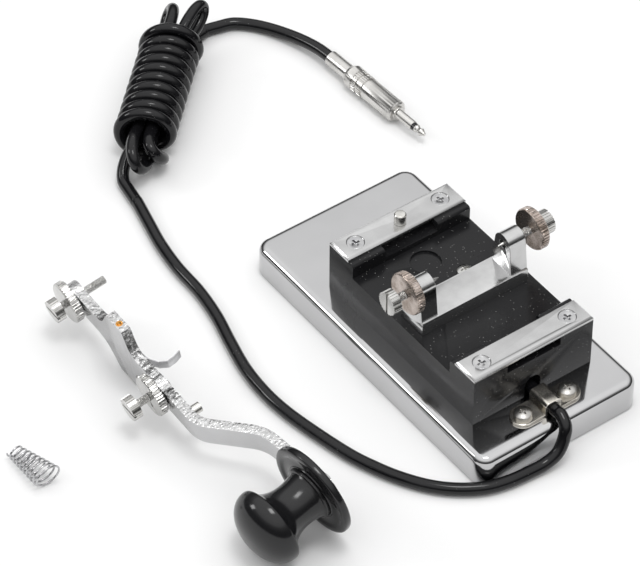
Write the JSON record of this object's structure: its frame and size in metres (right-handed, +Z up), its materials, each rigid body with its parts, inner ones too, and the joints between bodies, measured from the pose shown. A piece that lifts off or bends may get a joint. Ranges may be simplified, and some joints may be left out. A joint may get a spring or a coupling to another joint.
{
  "type": "telegraph key",
  "caption": "Hand telegraph key taken down: chromed base with contact block and pivot bracket, knobbed lever, conical return spring and tied corded plug.",
  "frame": {"origin": "centre of the base's underside, on the surface that everything lies on", "axes": "+Z up, +Y along the base towards the end where the cord leaves, +X across the base towards the dismantled lever"},
  "size_m": [0.2093, 0.2562, 0.0507],
  "materials": {
    "chrome": "mirror polished chrome plate",
    "pad": "matt black rubber sheet",
    "block": "glossy black moulding",
    "plate": "satin chrome, bright bevels",
    "contact": "bright contact metal",
    "steel": "bright zinc plate",
    "clamp": "nickel plate, slightly warm",
    "cord": "black cord jacket",
    "nickel": "bright nickel plate",
    "tarnished": "brownish tarnished nickel",
    "brass": "turned brass",
    "casting": "plated casting, smooth top",
    "knob": "polished black moulding",
    "lead_red": "red insulation, tinned lug",
    "lead_white": "white insulation, tinned lug"
  },
  "bodies": {
    "base": {"base_shell": "chrome", "base_pad": "pad", "block_screws": "steel", "insulator_block": "block", "front_contact_plate": "plate", "rear_stop_plate": "plate", "plate_screws": "steel", "contact_stud": "contact", "stud_nut": "steel", "bracket": "chrome", "bracket_screws": "steel", "leaf_terminal": "steel", "contact_lead": "lead_red", "bracket_lead": "lead_white", "cord_clamp": "clamp", "clamp_screws": "steel", "clamp_nuts": "steel", "cord_inner": "cord", "cord_run": "cord", "cord_hank": "cord", "cord_tail": "cord", "plug_sleeve": "nickel", "plug_shell": "nickel", "plug_shaft": "nickel", "plug_ring": "knob", "plug_tip": "nickel"},
    "lever_bushes": {"pivot_bushes": "brass"},
    "lever": {"lever_bar": "casting", "lever_contact": "contact", "leaf_spring": "steel", "leaf_screw": "steel", "knob": "knob", "knob_skirt": "knob", "knob_screw": "steel"},
    "left_nut": {"left_pivot_nut": "tarnished"},
    "left_screw": {"left_pivot_screw": "nickel"},
    "right_nut": {"right_pivot_nut": "tarnished"},
    "right_screw": {"right_pivot_screw": "nickel"},
    "rear_nut": {"gap_nut": "nickel"},
    "rear_screw": {"gap_screw": "nickel"},
    "front_nut": {"tension_nut": "nickel"},
    "front_screw": {"tension_screw": "nickel"},
    "coil_spring": {"return_spring": "steel"}
  },
  "joints": [
    {"name": "left_pivot_nut_turn", "type": "hinge", "parent": "base", "child": "left_nut", "pos_m": [0.024, 0.0107, 0.043], "axis": [1, 0, 0], "range_deg": [-504.6, 504.6]},
    {"name": "left_pivot_screw_travel", "type": "slide", "parent": "left_nut", "child": "left_screw", "axis": [1, 0, 0], "range_m": [-0.0007, 0.0007]},
    {"name": "right_pivot_nut_turn", "type": "hinge", "parent": "base", "child": "right_nut", "pos_m": [-0.0284, 0.0107, 0.043], "axis": [-1, 0, 0], "range_deg": [-504.6, 504.6]},
    {"name": "right_pivot_screw_travel", "type": "slide", "parent": "right_nut", "child": "right_screw", "axis": [-1, 0, 0], "range_m": [-0.0007, 0.0007]},
    {"name": "lever_lift", "type": "slide", "parent": "base", "child": "lever_bushes", "axis": [0, 0, 1], "range_m": [0, 0.06]},
    {"name": "lever_pivot", "type": "hinge", "parent": "lever_bushes", "child": "lever", "pos_m": [0.0994, -0.0454, 0.01465], "axis": [-0.1823, 0.002, -0.9832], "range_deg": [-2, 2]},
    {"name": "gap_nut_turn", "type": "hinge", "parent": "lever", "child": "rear_nut", "pos_m": [0.10241, -0.07651, 0.01403], "axis": [0.9828, -0.0298, -0.1822], "range_deg": [-504.6, 504.6]},
    {"name": "gap_screw_travel", "type": "slide", "parent": "rear_nut", "child": "rear_screw", "axis": [0.9828, -0.0298, -0.1822], "range_m": [-0.0007, 0.0007]},
    {"name": "tension_nut_turn", "type": "hinge", "parent": "lever", "child": "front_nut", "pos_m": [0.10397, -0.02403, 0.01385], "axis": [0.9828, -0.0298, -0.1822], "range_deg": [-504.6, 504.6]},
    {"name": "tension_screw_travel", "type": "slide", "parent": "front_nut", "child": "front_screw", "axis": [0.9828, -0.0298, -0.1822], "range_m": [-0.0007, 0.0007]},
    {"name": "spring_lift", "type": "slide", "parent": "base", "child": "coil_spring", "axis": [0, 0, 1], "range_m": [0, 0.04]}
  ],
  "couplings": [
    {"joint": "left_pivot_nut_turn", "follows": "left_pivot_screw_travel", "rad_per_m": 12566},
    {"joint": "right_pivot_nut_turn", "follows": "right_pivot_screw_travel", "rad_per_m": 12566},
    {"joint": "gap_nut_turn", "follows": "gap_screw_travel", "rad_per_m": 12566},
    {"joint": "tension_nut_turn", "follows": "tension_screw_travel", "rad_per_m": 12566}
  ]
}
